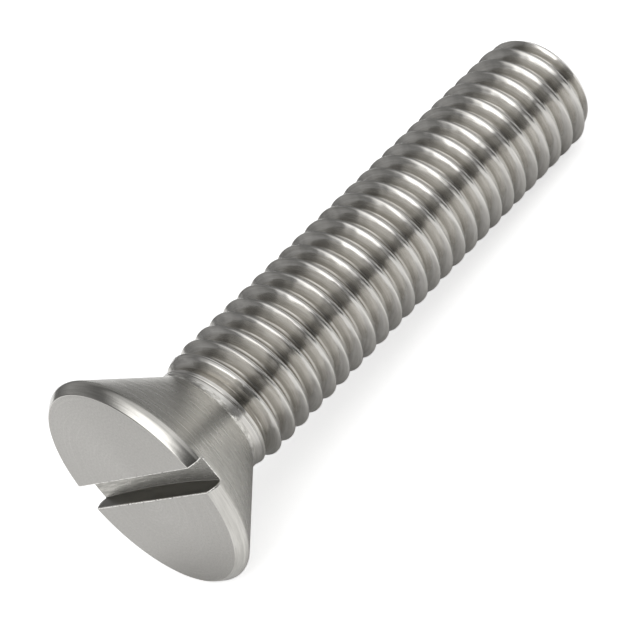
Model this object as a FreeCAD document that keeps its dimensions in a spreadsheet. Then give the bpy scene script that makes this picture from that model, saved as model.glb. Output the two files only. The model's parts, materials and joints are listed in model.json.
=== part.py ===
import FreeCAD, Part
import math
import os
import Sketcher
from FreeCAD import Placement, Rotation, Vector

# Slotted countersunk machine screw in stainless steel, coarse right-hand thread along the whole shank.
# In its own frame the screw's axis is X: the middle of the head's flat face is at the origin, the tip
# points along +X and the saw slot runs along Y. It is then laid down as it comes to rest, on the rim
# of its head and on its last full thread crest, with +Z up and the middle of its footprint at X = Y = 0.

# Driving sizes: lengths in millimetres and angles in degrees
SIZES = [
    ("screw_length", 38.5),
    ("face_diameter", 13.68),
    ("face_rounding", 0.12),
    ("rim_diameter", 14.64),
    ("rim_height", 0.62),
    ("rim_rounding", 0.4),
    ("head_angle", 75.0),
    ("neck_diameter", 7.2),
    ("neck_rounding", 0.5),
    ("neck_length", 0.53),
    ("thread_diameter", 7.95),
    ("thread_pitch", 1.25),
    ("flank_angle", 60.0),
    ("crest_width", 0.16),
    ("core_diameter", 6.42),
    ("thread_lead", 0.59),
    ("crest_runout", 1.3),
    ("root_runout", 0.9),
    ("runout_step", 0.03),
    ("ridge_foot", 0.05),
    ("tip_diameter", 7.0),
    ("tip_chamfer", 0.6),
    ("slot_width", 1.63),
    ("slot_depth", 1.33),
    ("saw_diameter", 130.0),
    ("slot_lean", 15.0),
]

doc = FreeCAD.newDocument("SlottedCountersunkScrew")
sizes = doc.addObject("Spreadsheet::Sheet", "Sizes")
for row, (alias, value) in enumerate(SIZES, start=1):
    sizes.set(f"A{row}", alias)
    sizes.set(f"B{row}", str(value))
    sizes.setAlias(f"B{row}", alias)
doc.recompute()


def worth(expression):
    """The number that an expression on the sheet's sizes comes to."""
    return float(sizes.evalExpression(expression))


# Places along the axis and radii that several features share, as expressions on the sizes
FACE_RADIUS = "Sizes.face_diameter / 2"
RIM_RADIUS = "Sizes.rim_diameter / 2"
NECK_RADIUS = "Sizes.neck_diameter / 2"
THREAD_RADIUS = "Sizes.thread_diameter / 2"
CORE_RADIUS = "Sizes.core_diameter / 2"
CONE_HEIGHT = f"({RIM_RADIUS} - {NECK_RADIUS}) / tan(Sizes.head_angle / 2)"
CONE_FOOT = f"Sizes.rim_height + {CONE_HEIGHT}"
NECK_END = f"{CONE_FOOT} + Sizes.neck_length"
THREAD_START = f"{NECK_END} - Sizes.thread_lead"
BAR_END = "Sizes.screw_length + Sizes.thread_pitch"
CLEAR_RADIUS = "Sizes.rim_diameter"

body = doc.addObject("PartDesign::Body", "Screw")
body.Label = "slotted_countersunk_screw"


def origin_plane(role):
    """One of the body's own origin planes."""
    return next(feature for feature in body.Origin.OriginFeatures if feature.Role == role)


def new_sketch(name):
    """A sketch on the plane that holds the screw's axis and the slot: sketch X is the axis, Y is radius."""
    sketch = body.newObject("Sketcher::SketchObject", name)
    sketch.AttachmentSupport = [(origin_plane("XY_Plane"), "")]
    sketch.MapMode = "FlatFace"
    return sketch


def new_feature(kind, name, profile):
    """A feature made from a sketch. One that turns does so about the screw's axis.

    Faces aren't merged afterwards, because merging bends the turns of the helix out of true.
    """
    feature = body.newObject(kind, name)
    feature.Profile = profile
    if kind != "PartDesign::Pocket":
        feature.ReferenceAxis = (profile, ["H_Axis"])
    feature.Refine = False
    return feature


def bind(sketch, constraint, name, expression):
    """Add a constraint and tie its value to an expression."""
    index = sketch.addConstraint(constraint)
    sketch.renameConstraint(index, name)
    sketch.setExpression(f"Constraints.{name}", expression)


def place_point(sketch, point, name, along, radius):
    """Hold a point at its place along the axis and at its radius."""
    if along == "0":
        sketch.addConstraint(Sketcher.Constraint("PointOnObject", point, 1, -2))
    else:
        bind(sketch, Sketcher.Constraint("DistanceX", -1, 1, point, 1, worth(along)),
             f"{name}_along", along)
    if radius == "0":
        sketch.addConstraint(Sketcher.Constraint("PointOnObject", point, 1, -1))
    else:
        bind(sketch, Sketcher.Constraint("DistanceY", -1, 1, point, 1, worth(radius)),
             f"{name}_radius", radius)


def outline(sketch, corners):
    """Draw a closed outline through named corners, each (name, along, radius, rounding or None).

    Every corner is a construction point held by its two expressions. A sharp corner joins its two lines.
    At a rounded one both lines aim at the point and an arc of the given radius touches them.
    """
    spots = [Vector(worth(along), worth(radius), 0) for name, along, radius, rounding in corners]
    count = len(corners)
    trims = []
    for index, (name, along, radius, rounding) in enumerate(corners):
        before = (spots[index - 1] - spots[index]).normalize()
        after = (spots[(index + 1) % count] - spots[index]).normalize()
        trim = worth(rounding) / math.tan(before.getAngle(after) / 2) if rounding else 0.0
        trims.append((spots[index] + before * trim, spots[index] + after * trim, before, after))
    points = [sketch.addGeometry(Part.Point(spot), True) for spot in spots]
    lines = []
    for index in range(count):
        start = trims[index][1]
        end = trims[(index + 1) % count][0]
        lines.append(sketch.addGeometry(Part.LineSegment(start, end), False))
    for index, (name, along, radius, rounding) in enumerate(corners):
        place_point(sketch, points[index], name, along, radius)
        incoming = lines[index - 1]
        outgoing = lines[index]
        if not rounding:
            sketch.addConstraint(Sketcher.Constraint("Coincident", incoming, 2, points[index], 1))
            sketch.addConstraint(Sketcher.Constraint("Coincident", outgoing, 1, points[index], 1))
            continue
        touch_in, touch_out, before, after = trims[index]
        middle_way = (before + after).normalize()
        centre = spots[index] + middle_way * (worth(rounding) / math.sin(before.getAngle(after) / 2))
        angle_in = math.atan2(touch_in.y - centre.y, touch_in.x - centre.x)
        angle_out = math.atan2(touch_out.y - centre.y, touch_out.x - centre.x)
        turns_left = (angle_out - angle_in) % (2 * math.pi) < math.pi
        low, high = (angle_in, angle_out) if turns_left else (angle_out, angle_in)
        first = 1 if turns_left else 2
        circle = Part.Circle(centre, Vector(0, 0, 1), worth(rounding))
        arc = sketch.addGeometry(Part.ArcOfCircle(circle, low, high), False)
        sketch.addConstraint(Sketcher.Constraint("PointOnObject", points[index], 1, incoming))
        sketch.addConstraint(Sketcher.Constraint("PointOnObject", points[index], 1, outgoing))
        sketch.addConstraint(Sketcher.Constraint("Tangent", incoming, 2, arc, first))
        sketch.addConstraint(Sketcher.Constraint("Tangent", outgoing, 1, arc, 3 - first))
        bind(sketch, Sketcher.Constraint("Radius", arc, worth(rounding)), f"{name}_rounding", rounding)


# Thread ridge: the 60 degree crest of the coarse thread, carried along a right-hand helix. Its first turn
# starts inside the neck and its last one ends past the tip. Its foot reaches a little into the core.
FOOT_RADIUS = f"{CORE_RADIUS} - Sizes.ridge_foot"
FOOT_HALF = f"Sizes.crest_width / 2 + ({THREAD_RADIUS} - ({FOOT_RADIUS})) * tan(Sizes.flank_angle / 2)"
ridge_section = new_sketch("RidgeSection")
outline(ridge_section, [
    ("head_side_foot", f"{THREAD_START} - ({FOOT_HALF})", FOOT_RADIUS, None),
    ("head_side_crest", f"{THREAD_START} - Sizes.crest_width / 2", THREAD_RADIUS, None),
    ("tip_side_crest", f"{THREAD_START} + Sizes.crest_width / 2", THREAD_RADIUS, None),
    ("tip_side_foot", f"{THREAD_START} + {FOOT_HALF}", FOOT_RADIUS, None),
])
doc.recompute()
ridge = new_feature("PartDesign::AdditiveHelix", "ThreadRidge", ridge_section)
ridge.Mode = "pitch-height-angle"
ridge.setExpression("Pitch", "Sizes.thread_pitch")
ridge.setExpression("Height", f"{BAR_END} - ({THREAD_START})")
doc.recompute()
ridge_volume = ridge.Shape.Volume

# Run-out beside the head: the crest rises out of the neck along a shallow cone until it is full
RISE = f"({THREAD_RADIUS} - {NECK_RADIUS} + Sizes.runout_step) / Sizes.crest_runout"
RISE_BACK = "(Sizes.thread_lead + Sizes.thread_pitch)"
RISE_ON = "(Sizes.crest_runout + Sizes.thread_pitch / 2)"
runout_section = new_sketch("RunoutSection")
outline(runout_section, [
    ("low_end", f"{NECK_END} - {RISE_BACK}",
     f"{NECK_RADIUS} - Sizes.runout_step - {RISE} * {RISE_BACK}", None),
    ("high_end", f"{NECK_END} + {RISE_ON}",
     f"{NECK_RADIUS} - Sizes.runout_step + {RISE} * {RISE_ON}", None),
    ("high_clear", f"{NECK_END} + {RISE_ON}", CLEAR_RADIUS, None),
    ("low_clear", f"{NECK_END} - {RISE_BACK}", CLEAR_RADIUS, None),
])
doc.recompute()
runout = new_feature("PartDesign::Groove", "ThreadRunout", runout_section)
runout.Angle = 360.0
doc.recompute()
runout_volume = runout.Shape.Volume

# Blank: tapered rim, countersunk cone, neck, and the core that carries the thread. The rim widens from the
# flat face to the cone and both its edges are rounded, so the head is a little less wide than the rim's
# diameter, which is taken to the sharp corner. The root runs down from the neck to the core, as the dies
# leave it. The bar is one pitch too long here.
blank_section = new_sketch("BlankSection")
outline(blank_section, [
    ("face_middle", "0", "0", None),
    ("face_edge", "0", FACE_RADIUS, "Sizes.face_rounding"),
    ("rim_corner", "Sizes.rim_height", RIM_RADIUS, "Sizes.rim_rounding"),
    ("cone_foot", CONE_FOOT, NECK_RADIUS, "Sizes.neck_rounding"),
    ("neck_end", NECK_END, NECK_RADIUS, None),
    ("core_start", f"{NECK_END} + Sizes.root_runout", CORE_RADIUS, None),
    ("core_end", BAR_END, CORE_RADIUS, None),
    ("bar_middle", BAR_END, "0", None),
])
doc.recompute()
blank = new_feature("PartDesign::Revolution", "Blank", blank_section)
blank.Angle = 360.0
doc.recompute()
blank_volume = blank.Shape.Volume

# Tip: the bar is cut to length and its end chamfered, so the last turn fades out
TIP_RADIUS = "Sizes.tip_diameter / 2"
TIP_SLOPE = f"({THREAD_RADIUS} - {TIP_RADIUS}) / Sizes.tip_chamfer"
TIP_BACK = "(Sizes.tip_chamfer + Sizes.thread_pitch / 2)"
tip_section = new_sketch("TipSection")
outline(tip_section, [
    ("end_middle", "Sizes.screw_length", "0", None),
    ("end_edge", "Sizes.screw_length", TIP_RADIUS, None),
    ("chamfer_back", f"Sizes.screw_length - {TIP_BACK}", f"{TIP_RADIUS} + {TIP_SLOPE} * {TIP_BACK}", None),
    ("back_clear", f"Sizes.screw_length - {TIP_BACK}", CLEAR_RADIUS, None),
    ("far_clear", f"{BAR_END} + Sizes.thread_pitch", CLEAR_RADIUS, None),
    ("far_middle", f"{BAR_END} + Sizes.thread_pitch", "0", None),
])
doc.recompute()
tip = new_feature("PartDesign::Groove", "Tip", tip_section)
tip.Angle = 360.0
doc.recompute()
tip_volume = tip.Shape.Volume

# Slot: sawn across the face by a disc, so that its floor is an arc, deepest in the middle
SAW_RADIUS = "Sizes.saw_diameter / 2"
SAW_STANDOFF = f"{SAW_RADIUS} - Sizes.slot_depth"
slot_section = new_sketch("SlotSection")
saw_circle = Part.Circle(Vector(-worth(SAW_STANDOFF), 0, 0), Vector(0, 0, 1), worth(SAW_RADIUS))
saw = slot_section.addGeometry(saw_circle, False)
slot_section.addConstraint(Sketcher.Constraint("PointOnObject", saw, 3, -1))
bind(slot_section, Sketcher.Constraint("DistanceX", saw, 3, -1, 1, worth(SAW_STANDOFF)), "saw_centre",
     SAW_STANDOFF)
bind(slot_section, Sketcher.Constraint("Radius", saw, worth(SAW_RADIUS)), "saw_radius", SAW_RADIUS)
doc.recompute()
slot = new_feature("PartDesign::Pocket", "Slot", slot_section)
slot.Type = "Length"
slot.Midplane = True
slot.setExpression("Length", "Sizes.slot_width")
doc.recompute()
slot_volume = slot.Shape.Volume
body.Tip = slot

# Lying at rest: the slot leans this much from the level, and the axis dips towards the tip until the
# rounded rim of the head and the last full crest on the underside touch the same level. The underside is
# the line along the screw that faces down, found by its turn about the axis from the slot's own line.
rim_corner = Vector(worth("Sizes.rim_height"), worth(RIM_RADIUS), 0)
rim_to_face = (Vector(0, worth(FACE_RADIUS), 0) - rim_corner).normalize()
rim_to_neck = (Vector(worth(CONE_FOOT), worth(NECK_RADIUS), 0) - rim_corner).normalize()
rim_half_angle = rim_to_face.getAngle(rim_to_neck) / 2
rim_centre = rim_corner + (rim_to_face + rim_to_neck).normalize() * (
    worth("Sizes.rim_rounding") / math.sin(rim_half_angle))
underside_turn = worth("Sizes.slot_lean") - 90.0
crest_shift = worth("Sizes.thread_pitch") * underside_turn / 360.0
crest_limit = worth("Sizes.screw_length - Sizes.tip_chamfer - Sizes.crest_width / 2")
crest_first = worth(THREAD_START) + crest_shift
crest_turns = math.floor((crest_limit - crest_first) / worth("Sizes.thread_pitch"))
crest_along = crest_first + crest_turns * worth("Sizes.thread_pitch") + worth("Sizes.crest_width / 2")
reach = crest_along - rim_centre.x
drop = rim_centre.y - worth(THREAD_RADIUS)
dip = math.degrees(math.atan2(drop, reach) + math.asin(worth("Sizes.rim_rounding") / math.hypot(reach, drop)))
lean = Rotation(Vector(1, 0, 0), -worth("Sizes.slot_lean"))
body.Placement = Placement(Vector(0, 0, 0), Rotation(Vector(0, 1, 0), dip).multiply(lean))
doc.recompute()
box = body.Shape.optimalBoundingBox(False, False)
body.Placement = Placement(Vector(-(box.XMin + box.XMax) / 2, -(box.YMin + box.YMax) / 2, -box.ZMin),
                           body.Placement.Rotation)
doc.recompute()

# Nothing is written unless every object is sound, each cut takes material away and the screw is one solid
for item in doc.Objects:
    if "Invalid" in item.State or "Error" in item.State:
        raise RuntimeError(f"{item.Name} failed: {item.State}")
if not runout_volume < ridge_volume < blank_volume:
    raise RuntimeError("the run-out or the blank did not form")
if not slot_volume < tip_volume < blank_volume:
    raise RuntimeError("the tip or the slot cut nothing")
screw = body.Shape
if screw.isNull() or not screw.isValid() or len(screw.Solids) != 1:
    raise RuntimeError("the screw is not one valid solid")

os.makedirs("parts", exist_ok=True)
screw.exportStep(f"parts/{body.Label}.step")
print(f"dip {dip:.3f} degrees, volume {screw.Volume:.1f} mm3, box {screw.optimalBoundingBox(False, False)}")
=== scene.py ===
import json
import math

import bmesh
import bpy
import numpy as np
from mathutils import Matrix, Vector


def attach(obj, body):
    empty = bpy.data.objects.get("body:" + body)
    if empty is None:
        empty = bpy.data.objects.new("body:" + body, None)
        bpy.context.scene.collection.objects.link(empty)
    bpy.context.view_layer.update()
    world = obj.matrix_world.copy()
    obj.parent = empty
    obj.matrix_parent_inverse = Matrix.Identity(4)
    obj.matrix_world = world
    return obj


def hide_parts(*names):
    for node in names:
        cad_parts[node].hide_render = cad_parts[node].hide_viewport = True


# Slotted countersunk machine screw, turned and rolled from stainless steel, lying on a white table.
# The screw is worked out in its own frame, in millimetres: X runs from the middle of the head's flat face
# to the tip, the slot runs along Y, and an azimuth is measured about X from +Y towards +Z. The packed
# record's mounts then say where that frame lies on the table.

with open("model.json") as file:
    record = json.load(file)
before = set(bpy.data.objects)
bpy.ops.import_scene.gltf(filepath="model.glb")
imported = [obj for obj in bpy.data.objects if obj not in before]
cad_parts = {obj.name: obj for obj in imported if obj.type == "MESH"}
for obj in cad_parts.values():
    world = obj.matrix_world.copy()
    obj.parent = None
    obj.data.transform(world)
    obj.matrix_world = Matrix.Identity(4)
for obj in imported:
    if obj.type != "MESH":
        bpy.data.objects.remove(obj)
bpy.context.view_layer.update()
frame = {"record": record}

MM = 0.001

# Head and neck
LENGTH = 38.5
FACE_RADIUS = 6.84
FACE_ROUNDING = 0.12
RIM_RADIUS = 7.319
RIM_HEIGHT = 0.62
RIM_ROUNDING = 0.4
CONE_ANGLE = 75.0
NECK_RADIUS = 3.6
NECK_ROUNDING = 0.5
NECK_LENGTH = 0.53
NECK_BLEND = 0.22

# Thread
THREAD_RADIUS = 3.975
CORE_RADIUS = 3.21
PITCH = 1.25
FLANK_ANGLE = 60.0
CREST_WIDTH = 0.16
CREST_ROUNDING = 0.055
ROOT_ROUNDING = 0.17
FLANK_FULLNESS = 0.65
THREAD_LEAD = 0.59
CREST_RUNOUT = 1.3
ROOT_RUNOUT = 0.9
RUNOUT_STEP = 0.03

# Tip and slot
TIP_RADIUS = 3.5
TIP_CHAMFER = 0.6
TIP_ROUNDING = 0.06
SLOT_WIDTH = 1.63
SLOT_DEPTH = 1.33
SAW_RADIUS = 65.0
SLOT_EDGE = 0.07

# Where the parts meet. The thread's grid starts inside the neck, a lead before the neck's end.
GRID_LEAD = 0.28
CONE_FOOT = RIM_HEIGHT + (RIM_RADIUS - NECK_RADIUS) / math.tan(math.radians(CONE_ANGLE / 2))
NECK_END = CONE_FOOT + NECK_LENGTH
THREAD_START = NECK_END - THREAD_LEAD
GRID_START = NECK_END - GRID_LEAD
GRID_END = LENGTH - TIP_ROUNDING

# How finely the surface is drawn: columns round the axis, steps in a rounded corner of the head and of the
# thread's section, and the longest step on a straight stretch of each
COLUMNS = 144
HEAD_ARC_STEPS = 7
THREAD_ARC_STEPS = 3
HEAD_STEP = 0.6
FLANK_STEP = 0.22
# Width over which the thread's run-outs and the tip's chamfer melt into one another
SMOOTHING = 0.02
# A difference smaller than this counts as none
NEAR = 1e-6
# Height over the rim's corner up to which the surface has the rim's finish
RIM_BLEND = 0.1
# The tip's edge is rounded by one ring at this share of its rounding. The rings of the flat end follow the
# thread's outline there, at these distances in from it.
TIP_EDGE_SHARE = 0.3
TIP_END_INSETS = (1.2, 2.4)
# Edges sharper than this many degrees stay crisp
SHARP_ANGLE = 32.0


def rounded_outline(corners, steps):
    """Outline through corners (along, radius, rounding): sharp where the rounding is 0, else an arc.

    The arc touches both sides: its centre lies on the corner's bisector at rounding / sin(half the corner's
    angle), and its points turn about that centre in even steps of angle from one side to the other.
    """
    spots = np.array([corner[:2] for corner in corners], dtype=float)
    points = []
    for index, (along, radius, rounding) in enumerate(corners):
        if not rounding:
            points.append(spots[index][None, :])
            continue
        before = spots[index - 1] - spots[index]
        after = spots[index + 1] - spots[index]
        before = before / np.linalg.norm(before)
        after = after / np.linalg.norm(after)
        half = math.acos(float(before @ after)) / 2
        middle = (before + after) / np.linalg.norm(before + after)
        centre = spots[index] + middle * rounding / math.sin(half)
        first = spots[index] + before * rounding / math.tan(half) - centre
        last = spots[index] + after * rounding / math.tan(half) - centre
        start = math.atan2(first[1], first[0])
        turn = (math.atan2(last[1], last[0]) - start + math.pi) % (2 * math.pi) - math.pi
        angles = start + turn * np.linspace(0, 1, steps + 1)
        points.append(centre + rounding * np.stack([np.cos(angles), np.sin(angles)], axis=1))
    return np.concatenate(points)


def with_shorter_steps(points, longest):
    """The same outline with each piece longer than `longest` cut into equal shorter ones."""
    pieces = []
    for first, last in zip(points[:-1], points[1:]):
        count = max(1, math.ceil(np.linalg.norm(last - first) / longest - NEAR))
        pieces.append(first + (last - first) * (np.arange(count) / count)[:, None])
    return np.concatenate(pieces + [points[-1:]])


def soft_min(first, second, softness):
    """The smaller of two heights, with the corner where they cross rounded over a width of `softness`."""
    blend = np.clip(0.5 + 0.5 * (second - first) / softness, 0, 1)
    return second + (first - second) * blend - softness * blend * (1 - blend)


def soft_max(first, second, softness):
    """The larger of two heights, with the corner where they cross rounded."""
    return -soft_min(-first, -second, softness)


# One pitch of the thread's section, from the middle of one root to the middle of the next. The crest is at 0.
FLANK_RUN = (THREAD_RADIUS - CORE_RADIUS) * math.tan(math.radians(FLANK_ANGLE / 2))
SECTION = with_shorter_steps(rounded_outline([
    (-PITCH / 2, CORE_RADIUS, 0),
    (-CREST_WIDTH / 2 - FLANK_RUN, CORE_RADIUS, ROOT_ROUNDING),
    (-CREST_WIDTH / 2, THREAD_RADIUS, CREST_ROUNDING),
    (CREST_WIDTH / 2, THREAD_RADIUS, CREST_ROUNDING),
    (CREST_WIDTH / 2 + FLANK_RUN, CORE_RADIUS, ROOT_ROUNDING),
    (PITCH / 2, CORE_RADIUS, 0)], THREAD_ARC_STEPS), FLANK_STEP)
SECTION_ALONG = SECTION[:, 0]
SECTION_RADIUS = SECTION[:, 1]
ROWS_PER_PITCH = len(SECTION) - 1


def thread_radius(along, azimuth):
    """Radius of the threaded part at a place along the axis and an azimuth.

    The section repeats every pitch and moves one pitch along per turn. Rolling leaves its flanks slightly
    full: its straight form gives way by FLANK_FULLNESS to a cosine between the same crest and root, which
    changes the radius by about 0.02 mm at most. The crests rise out of the neck on a shallow cone, the roots
    sink from the neck to the core on another, and the tip's chamfer cuts both.
    """
    phase = (along - THREAD_START - PITCH * azimuth / (2 * np.pi) + PITCH / 2) % PITCH - PITCH / 2
    straight = np.interp(phase, SECTION_ALONG, SECTION_RADIUS)
    swing = np.cos(2 * np.pi * phase / PITCH)
    wave = (THREAD_RADIUS + CORE_RADIUS + (THREAD_RADIUS - CORE_RADIUS) * swing) / 2
    ridge = straight + FLANK_FULLNESS * (wave - straight)
    rise = (THREAD_RADIUS - NECK_RADIUS + RUNOUT_STEP) / CREST_RUNOUT
    ridge = soft_min(ridge, NECK_RADIUS - RUNOUT_STEP + rise * (along - NECK_END), SMOOTHING)
    sink = (NECK_RADIUS - CORE_RADIUS) / ROOT_RUNOUT
    root = NECK_RADIUS - sink * np.maximum(along - NECK_END, 0)
    chamfer = TIP_RADIUS + (LENGTH - along) * (THREAD_RADIUS - TIP_RADIUS) / TIP_CHAMFER
    return soft_min(soft_max(ridge, root, SMOOTHING), chamfer, SMOOTHING)


def rings_of(outline, azimuths):
    """Points of a turned surface: each outline point (along, radius) goes round the axis at every azimuth."""
    along = np.repeat(outline[:, :1], len(azimuths), axis=1)
    radius = outline[:, 1:2]
    return np.stack([along, radius * np.cos(azimuths), radius * np.sin(azimuths)], axis=-1)


# Finish numbers, in the order of the list of finishes below
FACE, RIM, CONE, NECK, THREAD, TIP, SLOT, EDGE = range(8)


def screw_blank():
    """Vertices, faces and finish numbers of the screw before its slot is sawn, as one closed surface.

    The head is rings turned about the axis. The threaded part is a grid whose rows follow the helix: row k
    at azimuth a lies at offset(k) + pitch * a / turn, so that after one turn it meets the row one pitch on.
    Rows that would leave the threaded part end on its first or last ring. The tip is rings again.
    """
    azimuths = 2 * np.pi * np.arange(COLUMNS) / COLUMNS
    head = with_shorter_steps(rounded_outline([
        (0, 0, 0),
        (0, FACE_RADIUS, FACE_ROUNDING),
        (RIM_HEIGHT, RIM_RADIUS, RIM_ROUNDING),
        (CONE_FOOT, NECK_RADIUS, NECK_ROUNDING),
        (GRID_START, NECK_RADIUS, 0)], HEAD_ARC_STEPS), HEAD_STEP)
    head_rings = rings_of(head[1:], azimuths)

    first_turn = math.floor((GRID_START - THREAD_START) / PITCH) - 1
    last_turn = math.ceil((GRID_END - THREAD_START) / PITCH) + 1
    turns = np.arange(first_turn, last_turn)
    offsets = (THREAD_START + turns[:, None] * PITCH + SECTION_ALONG[None, :-1]).ravel()
    along = offsets[:, None] + PITCH * azimuths[None, :] / (2 * np.pi)
    before = along <= GRID_START + NEAR
    beyond = along >= GRID_END - NEAR
    along = np.clip(along, GRID_START, GRID_END)
    radius = thread_radius(along, azimuths[None, :])
    radius[before] = NECK_RADIUS
    grid = np.stack([along, radius * np.cos(azimuths), radius * np.sin(azimuths)], axis=-1)

    end_radius = thread_radius(np.full(COLUMNS, GRID_END), azimuths)
    shoulder = TIP_EDGE_SHARE * TIP_ROUNDING
    tip_along = np.array([GRID_END, LENGTH - shoulder, LENGTH, LENGTH, LENGTH])
    inset = np.array([0.0, shoulder, TIP_ROUNDING, *TIP_END_INSETS])
    tip_radius = end_radius[None, :] - inset[:, None]
    tip_rings = np.stack([np.repeat(tip_along[:, None], COLUMNS, axis=1),
                          tip_radius * np.cos(azimuths), tip_radius * np.sin(azimuths)], axis=-1)

    head_count = len(head_rings) * COLUMNS
    grid_count = grid.shape[0] * COLUMNS
    points = np.concatenate([[[0.0, 0.0, 0.0]], head_rings.reshape(-1, 3), grid.reshape(-1, 3),
                             tip_rings.reshape(-1, 3), [[LENGTH, 0.0, 0.0]]])
    head_names = 1 + np.arange(head_count).reshape(-1, COLUMNS)
    grid_names = 1 + head_count + np.arange(grid_count).reshape(-1, COLUMNS)
    tip_names = 1 + head_count + grid_count + np.arange(tip_rings.shape[0] * COLUMNS).reshape(-1, COLUMNS)
    grid_names = np.where(before, head_names[-1], np.where(beyond, tip_names[0], grid_names))
    closing = np.concatenate([grid_names[ROWS_PER_PITCH:, 0], np.full(ROWS_PER_PITCH, tip_names[0, 0])])
    grid_names = np.concatenate([grid_names, closing[:, None]], axis=1)
    head_names = np.concatenate([head_names, head_names[:, :1]], axis=1)
    tip_names = np.concatenate([tip_names, tip_names[:, :1]], axis=1)

    def quads(names):
        corners = [names[:-1, :-1], names[:-1, 1:], names[1:, 1:], names[1:, :-1]]
        return np.stack(corners, axis=-1).reshape(-1, 4)

    head_faces = quads(head_names)
    head_middle = (head[1:-1, 0] + head[2:, 0]) / 2
    head_finish = np.full(len(head_middle), NECK)
    head_finish[head_middle < CONE_FOOT - NECK_BLEND] = CONE
    head_finish[head_middle < RIM_HEIGHT + RIM_BLEND] = RIM
    head_finish[head_middle < NEAR] = FACE
    grid_faces = quads(grid_names)
    tip_faces = quads(tip_names)
    centre = np.zeros(COLUMNS, dtype=int)
    centre_faces = np.stack([centre, centre, head_names[0, :-1], head_names[0, 1:]], axis=1)
    end = np.full(COLUMNS, len(points) - 1)
    end_faces = np.stack([end, end, tip_names[-1, :-1], tip_names[-1, 1:]], axis=1)
    faces = np.concatenate([centre_faces, head_faces, grid_faces, tip_faces, end_faces])
    finish = np.concatenate([
        np.full(COLUMNS, FACE), np.repeat(head_finish, COLUMNS), np.full(len(grid_faces), THREAD),
        np.full(len(tip_faces), TIP), np.full(COLUMNS, TIP)])
    return points, faces, finish


def mesh_from(name, points, faces, finish):
    """A mesh from points, four-cornered faces and finish numbers. A doubled corner makes a triangle.

    Points that no face uses are left out, and a face that has shrunk to a line is dropped.
    """
    doubled = faces == np.roll(faces, -1, axis=1)
    crossed = (faces[:, 0] == faces[:, 2]) | (faces[:, 1] == faces[:, 3])
    solid = (doubled.sum(axis=1) <= 1) & ~crossed
    used, corners = np.unique(faces[solid][~doubled[solid]], return_inverse=True)
    sizes = 4 - doubled[solid].sum(axis=1)
    starts = np.cumsum(sizes) - sizes
    mesh = bpy.data.meshes.new(name)
    mesh.vertices.add(len(used))
    mesh.vertices.foreach_set("co", points[used].astype(np.float32).ravel())
    mesh.loops.add(len(corners))
    mesh.loops.foreach_set("vertex_index", corners.astype(np.int32).ravel())
    mesh.polygons.add(len(sizes))
    mesh.polygons.foreach_set("loop_start", starts.astype(np.int32))
    mesh.polygons.foreach_set("material_index", finish[solid].astype(np.int32))
    mesh.update(calc_edges=True)
    mesh.validate()
    return mesh


# The saw's cut: how far its bar reaches to each side and in front of the face, places along it at which its
# floor is worked out, and the rounding of the floor's two corners with its steps
CUT_REACH = 8.4
CUT_FRONT = 1.5
CUT_PLACES = 141
CUT_CORNER = 0.06
CUT_ARC_STEPS = 4


def saw_cut():
    """The bar that the saw removes: straight walls and a floor that follows the saw's circle.

    The floor's depth at y is depth - radius + sqrt(radius^2 - y^2), and its two corners are slightly rounded.
    """
    stations = np.linspace(-CUT_REACH, CUT_REACH, CUT_PLACES)
    depth = SLOT_DEPTH - SAW_RADIUS + np.sqrt(SAW_RADIUS ** 2 - stations ** 2)
    half = SLOT_WIDTH / 2
    section = rounded_outline([
        (-CUT_FRONT, half, 0), (0, half, CUT_CORNER), (0, -half, CUT_CORNER), (-CUT_FRONT, -half, 0)],
        CUT_ARC_STEPS)
    count = len(section)
    front = section[None, :, 0] <= -CUT_FRONT
    along = np.where(front, section[None, :, 0], section[None, :, 0] + depth[:, None])
    points = np.stack([along, np.repeat(stations[:, None], count, axis=1),
                       np.repeat(section[None, :, 1], len(stations), axis=0)], axis=-1).reshape(-1, 3)
    names = np.arange(len(points)).reshape(len(stations), count)
    wrapped = np.concatenate([names, names[:, :1]], axis=1)
    sides = np.stack([wrapped[:-1, :-1], wrapped[1:, :-1], wrapped[1:, 1:], wrapped[:-1, 1:]], axis=-1)
    faces = [face.tolist() for face in sides.reshape(-1, 4)]
    faces.append(names[0].tolist())
    faces.append(names[-1, ::-1].tolist())
    mesh = bpy.data.meshes.new("saw_cut")
    mesh.from_pydata(points.tolist(), [], faces)
    mesh.polygons.foreach_set("material_index", np.full(len(faces), SLOT, dtype=np.int32))
    shape = bmesh.new()
    shape.from_mesh(mesh)
    bmesh.ops.recalc_face_normals(shape, faces=shape.faces)
    shape.to_mesh(mesh)
    shape.free()
    return mesh


# Where the screw lies: the record's mounts give its axis and the side of the head beyond the slot. The mount
# on the cone stands on the axis, this far from the middle of the face.
SEAT_ALONG = 3.2
mounts = {mount["name"]: mount for mount in frame["record"]["mounts"]}
axis = Vector(mounts["thread"]["axis"]).normalized()
origin = Vector(mounts["countersunk_seat"]["pos_m"]) - axis * SEAT_ALONG * MM
across = (Vector(mounts["head_face"]["pos_m"]) - origin).normalized()
slot_line = across.cross(axis).normalized()
own_frame = Matrix((axis, slot_line, across)).transposed().to_4x4()
own_frame.translation = origin
to_table = own_frame @ Matrix.Scale(MM, 4)


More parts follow.
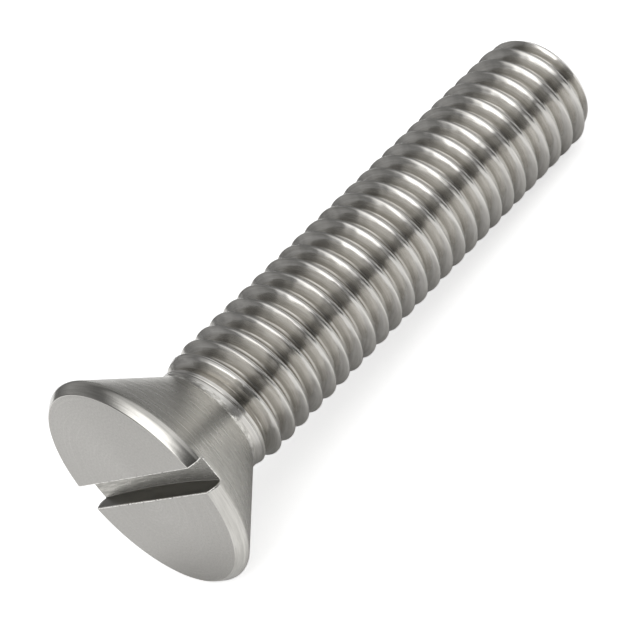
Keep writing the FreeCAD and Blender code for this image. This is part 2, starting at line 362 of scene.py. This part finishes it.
def make_screw(finishes):
    """The whole screw: the blank less the saw's cut, with the cut's edges broken, placed on the table."""
    blank = bpy.data.objects.new("screw_blank", mesh_from("screw_blank", *screw_blank()))
    cut = bpy.data.objects.new("saw_cut", saw_cut())
    for piece in (blank, cut):
        bpy.context.collection.objects.link(piece)
        for finish in finishes:
            piece.data.materials.append(finish)
    sawn = blank.modifiers.new("sawn", "BOOLEAN")
    sawn.operation = "DIFFERENCE"
    sawn.solver = "EXACT"
    sawn.object = cut
    graph = bpy.context.evaluated_depsgraph_get()
    mesh = bpy.data.meshes.new_from_object(blank.evaluated_get(graph))
    for piece in (blank, cut):
        bpy.data.objects.remove(piece)
    mesh.name = "screw"
    shape = bmesh.new()
    shape.from_mesh(mesh)
    edges = [edge for edge in shape.edges if len(edge.link_faces) == 2
             and (edge.link_faces[0].material_index == SLOT) != (edge.link_faces[1].material_index == SLOT)]
    bmesh.ops.bevel(shape, geom=edges, offset=SLOT_EDGE, offset_type="OFFSET", segments=2, profile=0.5,
                    affect="EDGES", clamp_overlap=False, material=EDGE)
    shape.transform(to_table)
    shape.to_mesh(mesh)
    shape.free()
    mesh.polygons.foreach_set("use_smooth", np.ones(len(mesh.polygons), dtype=bool))
    mesh.set_sharp_from_angle(angle=math.radians(SHARP_ANGLE))
    screw = bpy.data.objects.new("screw", mesh)
    bpy.context.collection.objects.link(screw)
    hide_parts("slotted_countersunk_screw")
    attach(screw, "root")
    return screw


def linear_colour(code):
    """An sRGB hex colour turned to the linear values that the shader takes."""
    levels = [int(code[place:place + 2], 16) / 255 for place in (1, 3, 5)]
    linear = [level / 12.92 if level <= 0.04045 else ((level + 0.055) / 1.055) ** 2.4 for level in levels]
    return linear + [1.0]


def add_node(tree, kind, inputs, **settings):
    """Add a node with its settings and links, and give the first output that those settings leave in use.

    Each input, by its name or number, takes a value or another node's output.
    """
    node = tree.nodes.new("ShaderNode" + kind)
    for name, value in settings.items():
        setattr(node, name, value)
    for name, value in inputs.items():
        if isinstance(value, bpy.types.NodeSocket):
            tree.links.new(value, node.inputs[name])
        else:
            node.inputs[name].default_value = value
    return next(output for output in node.outputs if output.enabled)


def start_steel(name):
    """A bare stainless steel material, with the places on the screw that its pattern follows.

    The places are in the screw's own millimetres: own (the point), along (the axis), height (over the slot's
    middle plane), radius (off the axis), outward (unit direction off the axis) and the sine and cosine of the
    thread's turn, 2 pi (along - thread start) / pitch - azimuth, which is a whole number of turns on a crest.
    Around is the direction round the axis on the table, axis x (point - origin).
    """
    material = bpy.data.materials.new(name)
    material.use_nodes = True
    tree = material.node_tree
    tree.nodes["Principled BSDF"].inputs["Metallic"].default_value = 1.0
    point = add_node(tree, "TexCoord", {}).node.outputs["Object"]
    own = add_node(tree, "Mapping", {
        "Vector": point, "Location": origin, "Rotation": own_frame.to_euler(), "Scale": (MM, MM, MM)},
        vector_type="TEXTURE")
    off_axis = add_node(tree, "VectorMath", {0: own, 1: (0, 1, 1)}, operation="MULTIPLY")
    parts = add_node(tree, "SeparateXYZ", {0: own}).node.outputs
    azimuth = add_node(tree, "Math", {0: parts["Z"], 1: parts["Y"]}, operation="ARCTAN2")
    turned = add_node(tree, "Math", {
        0: parts["X"], 1: 2 * math.pi / PITCH, 2: -2 * math.pi * THREAD_START / PITCH},
        operation="MULTIPLY_ADD")
    turn = add_node(tree, "Math", {0: turned, 1: azimuth}, operation="SUBTRACT")
    from_origin = add_node(tree, "VectorMath", {0: point, 1: origin}, operation="SUBTRACT")
    place = {
        "own": own, "along": parts["X"], "height": parts["Z"],
        "radius": add_node(tree, "VectorMath", {0: off_axis}, operation="LENGTH"),
        "outward": add_node(tree, "VectorMath", {0: off_axis}, operation="NORMALIZE"),
        "sine": add_node(tree, "Math", {0: turn}, operation="SINE"),
        "cosine": add_node(tree, "Math", {0: turn}, operation="COSINE"),
        "around": add_node(tree, "VectorMath", {0: axis, 1: from_origin}, operation="CROSS_PRODUCT")}
    return material, tree, place


def grain(tree, place, per_mm, detail=2.0):
    """Even cloudy grain about 0.5, with this many cells to the millimetre."""
    return add_node(tree, "TexNoise", {
        "Vector": place["own"], "Scale": per_mm, "Detail": detail, "Roughness": 0.6})


def turning_lines(tree, place, across, per_mm, round_scale, detail=3.0):
    """Marks drawn out round the axis by a lathe tool: fine across, slow along, and with no seam.

    The pattern's place is outward * round scale plus across * lines per mm along X, so a line fades over
    about radius / round scale millimetres. The real marks are finer, too fine to show.
    """
    fine = add_node(tree, "Math", {0: across, 1: per_mm}, operation="MULTIPLY")
    step = add_node(tree, "CombineXYZ", {"X": fine})
    cells = add_node(tree, "VectorMath", {
        0: place["outward"], 1: [round_scale] * 3, 2: step}, operation="MULTIPLY_ADD")
    return add_node(tree, "TexNoise", {"Vector": cells, "Scale": 1.0, "Detail": detail, "Roughness": 0.6})


def thread_lines(tree, place, turn_scale, round_scale, per_mm):
    """Marks that run along the thread, as rolling leaves them.

    The pattern's place is turn scale * (cosine, sine) of the thread's turn plus round scale * outward, with
    along * per mm as its third part, so it has no seam and changes fast only across the thread.
    """
    slow = add_node(tree, "Math", {0: place["along"], 1: per_mm}, operation="MULTIPLY")
    first = add_node(tree, "Math", {0: place["cosine"], 1: turn_scale}, operation="MULTIPLY")
    second = add_node(tree, "Math", {0: place["sine"], 1: turn_scale}, operation="MULTIPLY")
    ring = add_node(tree, "CombineXYZ", {"X": slow, "Y": first, "Z": second})
    cells = add_node(tree, "VectorMath", {
        0: place["outward"], 1: [round_scale] * 3, 2: ring}, operation="MULTIPLY_ADD")
    return add_node(tree, "TexNoise", {"Vector": cells, "Scale": 1.0, "Detail": 3.0, "Roughness": 0.6})


def finish_steel(tree, place, tones, shade, roughness, heights, brushed=0.0):
    """Colour and roughness by one shade, then the heights (value, depth in mm) as bumps one on another.

    Marks round the axis spread a highlight across themselves: the shader's tangent is the direction across
    them, surface normal x around.
    """
    shader = tree.nodes["Principled BSDF"]
    colour = add_node(tree, "Mix", {
        0: shade, 6: linear_colour(tones[0]), 7: linear_colour(tones[1])}, data_type="RGBA")
    tree.links.new(colour, shader.inputs["Base Color"])
    rough = add_node(tree, "MapRange", {0: shade, 3: roughness[0], 4: roughness[1]})
    tree.links.new(rough, shader.inputs["Roughness"])
    below = {}
    for height, depth in heights:
        normal = add_node(tree, "Bump", {"Height": height, "Distance": depth * MM, "Strength": 1.0, **below})
        below = {"Normal": normal}
    tree.links.new(normal, shader.inputs["Normal"])
    if brushed:
        shader.inputs["Anisotropic"].default_value = brushed
        surface = add_node(tree, "NewGeometry", {}).node.outputs["Normal"]
        spread = add_node(tree, "VectorMath", {0: surface, 1: place["around"]}, operation="CROSS_PRODUCT")
        tangent = add_node(tree, "VectorMath", {0: spread}, operation="NORMALIZE")
        tree.links.new(tangent, shader.inputs["Tangent"])


def faced_steel():
    """Stainless steel, faced on the lathe: satin grey with a fine even grain, and a few long light rings."""
    material, tree, place = start_steel("faced_stainless_steel")
    rings = turning_lines(tree, place, place["radius"], 9.0, 1.2)
    fine = grain(tree, place, 8.0)
    long_rings = turning_lines(tree, place, place["radius"], 7.0, 0.7, 1.0)
    scratches = add_node(tree, "MapRange", {0: long_rings, 1: 0.6, 2: 0.7})
    ring_share = add_node(tree, "Mix", {0: 0.2, 2: fine, 3: rings})
    even = add_node(tree, "MapRange", {0: ring_share, 1: 0.3, 2: 0.7, 3: 0.1, 4: 0.7})
    shade = add_node(tree, "Math", {0: scratches, 1: 0.14, 2: even}, operation="MULTIPLY_ADD")
    finish_steel(tree, place, ("#a6a4a0", "#c4c2be"), shade, (0.38, 0.3),
                 [(rings, 0.0004), (fine, 0.0024), (scratches, 0.0006)], 0.4)
    return material


def polished_steel():
    """Stainless steel, rim left bright by the finishing cut: sharp reflections and a few rings."""
    material, tree, place = start_steel("bright_turned_stainless_steel")
    rings = turning_lines(tree, place, place["along"], 8.0, 3.0)
    shade = add_node(tree, "MapRange", {0: rings, 1: 0.3, 2: 0.7})
    finish_steel(tree, place, ("#bebcb7", "#d8d6d1"), shade, (0.15, 0.09),
                 [(rings, 0.0015), (grain(tree, place, 2.5), 0.003)])
    return material


def turned_steel():
    """Stainless steel, cone turned in fine passes: brushed round the axis, with dark flecks in the sheen."""
    material, tree, place = start_steel("fine_turned_stainless_steel")
    rings = turning_lines(tree, place, place["along"], 9.0, 4.0)
    specks = turning_lines(tree, place, place["along"], 8.0, 20.0, 2.0)
    flecks = add_node(tree, "MapRange", {0: specks, 1: 0.56, 2: 0.7, 3: 1.0, 4: 0.45})
    lines = add_node(tree, "MapRange", {0: rings, 1: 0.3, 2: 0.7, 3: 0.25, 4: 1.0})
    shade = add_node(tree, "Math", {0: lines, 1: flecks}, operation="MULTIPLY")
    finish_steel(tree, place, ("#a4a29c", "#d4d2cc"), shade, (0.34, 0.25),
                 [(rings, 0.002), (flecks, 0.0012), (grain(tree, place, 2.0), 0.004)], 0.7)
    return material


def run_out_steel():
    """Stainless steel, neck where the rolling dies run out: bright, with short rough marks round it."""
    material, tree, place = start_steel("run_out_stainless_steel")
    rings = turning_lines(tree, place, place["along"], 7.0, 9.0)
    smears = turning_lines(tree, place, place["along"], 2.6, 5.0)
    shade = add_node(tree, "MapRange", {0: rings, 1: 0.35, 2: 0.65})
    finish_steel(tree, place, ("#bab8b2", "#eae8e3"), shade, (0.26, 0.14), [(smears, 0.03), (rings, 0.012)])
    return material


# Seam on the crests: its place as a sine of the thread's turn, and the reach of its slopes to each side
SEAM_PLACE = 0.32
SEAM_REACH = 0.3


def rolled_steel():
    """Stainless steel, thread rolled between dies: bright and a little wavy, with painted shade that darkens
    it towards the roots, where it is also a little rougher, and a fine seam beside the middle of each crest
    where the metal met."""
    material, tree, place = start_steel("rolled_stainless_steel")
    lines = thread_lines(tree, place, 2.4, 1.6, 0.9)
    waves = grain(tree, place, 0.8, 1.0)
    beside = add_node(tree, "Math", {0: place["sine"], 1: SEAM_PLACE}, operation="SUBTRACT")
    from_seam = add_node(tree, "Math", {0: beside}, operation="ABSOLUTE")
    groove = add_node(tree, "MapRange", {
        0: from_seam, 1: 0.0, 2: SEAM_REACH}, interpolation_type="SMOOTHSTEP")
    off_crest = add_node(tree, "Math", {0: place["cosine"], 1: 0.0}, operation="LESS_THAN")
    seam = add_node(tree, "Math", {0: groove, 1: off_crest}, operation="MAXIMUM")
    # Painted shade: the thread is darker towards its roots and lighter on its crests
    painted_root_shade = add_node(tree, "MapRange", {0: place["cosine"], 1: -1.0, 2: 0.3}, interpolation_type="SMOOTHSTEP")
    even = add_node(tree, "MapRange", {0: lines, 1: 0.3, 2: 0.7})
    shade = add_node(tree, "Mix", {0: 0.55, 2: even, 3: painted_root_shade})
    finish_steel(tree, place, ("#a8a49c", "#e2e0dc"), shade, (0.22, 0.2),
                 [(waves, 0.065), (lines, 0.004), (seam, 0.04)])
    return material


def tip_steel():
    """Stainless steel, end as cut and chamfered: rings from the tool, lighter than the thread."""
    material, tree, place = start_steel("cut_end_stainless_steel")
    rings = turning_lines(tree, place, place["radius"], 8.0, 4.0)
    shade = add_node(tree, "MapRange", {0: rings, 1: 0.35, 2: 0.65})
    finish_steel(tree, place, ("#bcbab5", "#dad8d3"), shade, (0.32, 0.2), [(rings, 0.006)])
    return material


# Painted shade on the slot's lower wall: full up to the first height over that wall, gone above the second
WALL_SHADE_FULL = 0.01
WALL_SHADE_GONE = 0.07


def sawn_steel():
    """Stainless steel, slot sawn along its length: straight streaks, and painted shade that darkens the lower
    wall.
    """
    material, tree, place = start_steel("sawn_stainless_steel")
    along_cut = add_node(tree, "VectorMath", {0: place["own"], 1: (7.0, 0.5, 7.0)}, operation="MULTIPLY")
    streaks = add_node(tree, "TexNoise", {"Vector": along_cut, "Scale": 1.0, "Detail": 3.0, "Roughness": 0.6})
    # Painted shade: the slot's lower wall is darkened
    painted_wall_shade = add_node(tree, "MapRange", {
        0: place["height"], 1: WALL_SHADE_FULL - SLOT_WIDTH / 2, 2: WALL_SHADE_GONE - SLOT_WIDTH / 2, 3: 0.08, 4: 1.0})
    lines = add_node(tree, "MapRange", {0: streaks, 1: 0.32, 2: 0.68, 3: 0.45, 4: 1.0})
    shade = add_node(tree, "Math", {0: lines, 1: painted_wall_shade}, operation="MULTIPLY")
    finish_steel(tree, place, ("#6c6a65", "#c0beb8"), shade, (0.34, 0.26),
                 [(streaks, 0.004), (grain(tree, place, 8.0), 0.002)])
    return material


def edge_steel():
    """Stainless steel, edge that the saw left: a broken line with small burrs, light partly as bright cut
    metal and partly as a painted highlight.
    """
    material, tree, place = start_steel("edge_stainless_steel_partly_painted_highlight")
    burrs = grain(tree, place, 5.0)
    # The light tones are partly bright cut metal and partly a painted highlight along the edge
    shade = add_node(tree, "MapRange", {0: burrs, 1: 0.38, 2: 0.55})
    finish_steel(tree, place, ("#d8d6d1", "#f6f4f0"), shade, (0.3, 0.16), [(burrs, 0.03)])
    return material


finishes = [faced_steel(), polished_steel(), turned_steel(), run_out_steel(), rolled_steel(), tip_steel(),
            sawn_steel(), edge_steel()]
screw = make_screw(finishes)

# Table: a matt white sheet that carries on past what any camera sees, in metres. The camera sees the glow and
# the far glow, mirror rays the weaker one. The painted shadow of the screw in the mirror glow lies about a
# line:
# half the line's length, how far from it the painted shadow is full, and where it ends. The sheet's painted
# pool of light is white up to the first of these distances from the middle and grey from the second.
TABLE_REACH = 3.0
TABLE_GLOW = 0.66
TABLE_FAR_GLOW = 1.0
TABLE_MIRROR_GLOW = 0.38
SHADE_HALF_LENGTH = 0.016
SHADE_START = 0.0035
SHADE_END = 0.0095
TABLE_WHITE_END = 0.07
TABLE_GREY_START = 0.13
TABLE_GREY_SHARE = 0.2


def white_sheet():
    """Matt white laminate, with a painted pool of light: its colour falls off to grey far outside the
    picture.

    Camera rays get a glow on top of the lit sheet, so that open places are plain white everywhere and the
    screw's soft shadow stays. The glow rises as the painted pool of light falls off. Mirror and see-through
    rays get a weaker glow, with a painted shadow of the screw in it: less glow nearer the line under the
    screw's axis.
    """
    material = bpy.data.materials.new("white_laminate")
    material.use_nodes = True
    tree = material.node_tree
    shader = tree.nodes["Principled BSDF"]
    point = add_node(tree, "TexCoord", {}).node.outputs["Object"]
    reach = add_node(tree, "VectorMath", {0: point}, operation="LENGTH")
    # Painted pool of light: the sheet's colour is white near the middle and falls off to grey far out
    share = add_node(tree, "MapRange", {
        0: reach, 1: TABLE_WHITE_END, 2: TABLE_GREY_START, 3: 1.0, 4: TABLE_GREY_SHARE},
        interpolation_type="SMOOTHSTEP")
    colour = add_node(tree, "Mix", {0: share, 6: (0, 0, 0, 1), 7: linear_colour("#f2f2f2")}, data_type="RGBA")
    tree.links.new(colour, shader.inputs["Base Color"])
    shader.inputs["Roughness"].default_value = 0.9
    shader.inputs["Specular IOR Level"].default_value = 0.0
    shader.inputs["Emission Color"].default_value = linear_colour("#ffffff")
    rays = add_node(tree, "LightPath", {}).node.outputs
    mirrored = add_node(tree, "Math", {
        0: rays["Is Glossy Ray"], 1: rays["Is Transmission Ray"]}, operation="MAXIMUM")
    folded = add_node(tree, "VectorMath", {0: point}, operation="ABSOLUTE")
    beyond = add_node(tree, "VectorMath", {0: folded, 1: (SHADE_HALF_LENGTH, 0, 0)}, operation="SUBTRACT")
    outside = add_node(tree, "VectorMath", {0: beyond, 1: (0, 0, 0)}, operation="MAXIMUM")
    off_line = add_node(tree, "VectorMath", {0: outside}, operation="LENGTH")
    # Painted shadow of the screw in the mirror glow, by the distance from the line under its axis
    glow_outside_painted_shadow = add_node(tree, "MapRange", {
        0: off_line, 1: SHADE_START, 2: SHADE_END, 3: 0.0, 4: TABLE_MIRROR_GLOW},
        interpolation_type="SMOOTHSTEP")
    mirror_glow = add_node(tree, "Math", {0: mirrored, 1: glow_outside_painted_shadow}, operation="MULTIPLY")
    mirror_share = add_node(tree, "Math", {0: mirror_glow, 1: share}, operation="MULTIPLY")
    camera_glow = add_node(tree, "MapRange", {
        0: share, 1: TABLE_GREY_SHARE, 2: 1.0, 3: TABLE_FAR_GLOW, 4: TABLE_GLOW})
    strength = add_node(tree, "Math", {
        0: rays["Is Camera Ray"], 1: camera_glow, 2: mirror_share}, operation="MULTIPLY_ADD")
    tree.links.new(strength, shader.inputs["Emission Strength"])
    return material


table_mesh = bpy.data.meshes.new("table")
table_corners = TABLE_REACH * np.array([[-1, -1, 0], [1, -1, 0], [1, 1, 0], [-1, 1, 0]])
table_mesh.from_pydata(table_corners.tolist(), [], [(0, 1, 2, 3)])
table_mesh.materials.append(white_sheet())
table = bpy.data.objects.new("table", table_mesh)
bpy.context.collection.objects.link(table)

# Studio: (degrees from the far horizon over the top to the near horizon, brightness). A long softbox hangs
# overhead, a little turned from the screw. The far wall is dim and so is the near side, down to the horizon.
STUDIO = [(0, 0.16), (8, 0.24), (18, 0.34), (34, 0.28), (50, 0.17), (58, 0.17), (68, 0.36), (80, 0.58),
          (92, 0.76), (104, 0.88), (134, 0.96), (146, 0.7), (157, 0.42), (168, 0.22), (180, 0.16)]
STUDIO_TURN = -5.0
STUDIO_PEAK = max(brightness for _, brightness in STUDIO)
# The softbox is brighter over the head's end: the gain is full where a direction's X is below the first limit
# and gone above the second, and only what is brighter than the softbox's own limits takes it.
HEAD_SIDE_GAIN = 2.2
HEAD_SIDE_LIMITS = (-0.65, -0.15)
SOFTBOX_LIMITS = (0.3, 0.75)
# A round dark patch low beside the camera: direction, degrees to its dark middle, degrees to its edge
DARK_PATCH = (Vector((-0.5, -0.85, 0.15)).normalized(), 14.0, 42.0)
DARK_PATCH_SHARE = 0.3


def studio():
    """World whose brightness follows the angle about the softbox's long axis, arctan2(up, far)."""
    world = bpy.data.worlds.new("studio")
    world.use_nodes = True
    tree = world.node_tree
    direction = add_node(tree, "TexCoord", {}).node.outputs["Generated"]
    parts = add_node(tree, "SeparateXYZ", {0: direction}).node.outputs
    turn = math.radians(STUDIO_TURN)
    far = add_node(tree, "VectorMath", {
        0: direction, 1: (-math.sin(turn), math.cos(turn), 0)}, operation="DOT_PRODUCT")
    angle = add_node(tree, "Math", {0: parts["Z"], 1: far}, operation="ARCTAN2")
    half_turns = add_node(tree, "Math", {0: angle, 1: math.pi}, operation="DIVIDE")
    ramp = add_node(tree, "ValToRGB", {0: half_turns})
    stops = ramp.node.color_ramp.elements
    # A ramp starts with two stops
    for _ in STUDIO[2:]:
        stops.new(0.5)
    for stop, (place, brightness) in zip(stops, STUDIO):
        stop.position = place / 180
        stop.color = [brightness / STUDIO_PEAK] * 3 + [1.0]
    middle, inner, outer = DARK_PATCH
    facing = add_node(tree, "VectorMath", {0: direction, 1: middle}, operation="DOT_PRODUCT")
    patch = add_node(tree, "MapRange", {
        0: facing, 1: math.cos(math.radians(outer)), 2: math.cos(math.radians(inner)), 3: 1.0,
        4: DARK_PATCH_SHARE}, interpolation_type="SMOOTHSTEP")
    head_side = add_node(tree, "MapRange", {
        0: parts["X"], 1: HEAD_SIDE_LIMITS[0], 2: HEAD_SIDE_LIMITS[1],
        3: (HEAD_SIDE_GAIN - 1) * STUDIO_PEAK, 4: 0.0})
    softbox = add_node(tree, "MapRange", {0: ramp, 1: SOFTBOX_LIMITS[0], 2: SOFTBOX_LIMITS[1]})
    gain = add_node(tree, "Math", {0: head_side, 1: softbox, 2: STUDIO_PEAK}, operation="MULTIPLY_ADD")
    strength = add_node(tree, "Math", {0: gain, 1: patch}, operation="MULTIPLY")
    background = tree.nodes["Background"]
    tree.links.new(strength, background.inputs["Strength"])
    tree.links.new(ramp, background.inputs["Color"])
    return world


bpy.context.scene.world = studio()

# Camera: the photograph's view as it was fitted, in millimetres, with the frame turned about the view. It
# stands nearer than the real one did, so the shank narrows more towards its tip than in the photograph.
CAMERA_PLACE = Vector((-61.366, -101.921, 70.893)) * MM
CAMERA_AIM = Vector((-2.8770, 1.2792, 5.0492)) * MM
CAMERA_ROLL = -34.491
CAMERA_LENS = 131.01
camera_data = bpy.data.cameras.new("camera")
camera_data.lens = CAMERA_LENS
camera_data.sensor_width = 36.0
camera_data.clip_start = 0.01
camera_data.clip_end = 20.0
camera = bpy.data.objects.new("camera", camera_data)
bpy.context.collection.objects.link(camera)
level = (CAMERA_AIM - CAMERA_PLACE).to_track_quat("-Z", "Y").to_matrix().to_4x4()
rolled = Matrix.Rotation(math.radians(CAMERA_ROLL), 4, "Z")
camera.matrix_world = Matrix.Translation(CAMERA_PLACE) @ level @ rolled
bpy.context.scene.camera = camera
bpy.context.scene.view_settings.view_transform = "Standard"
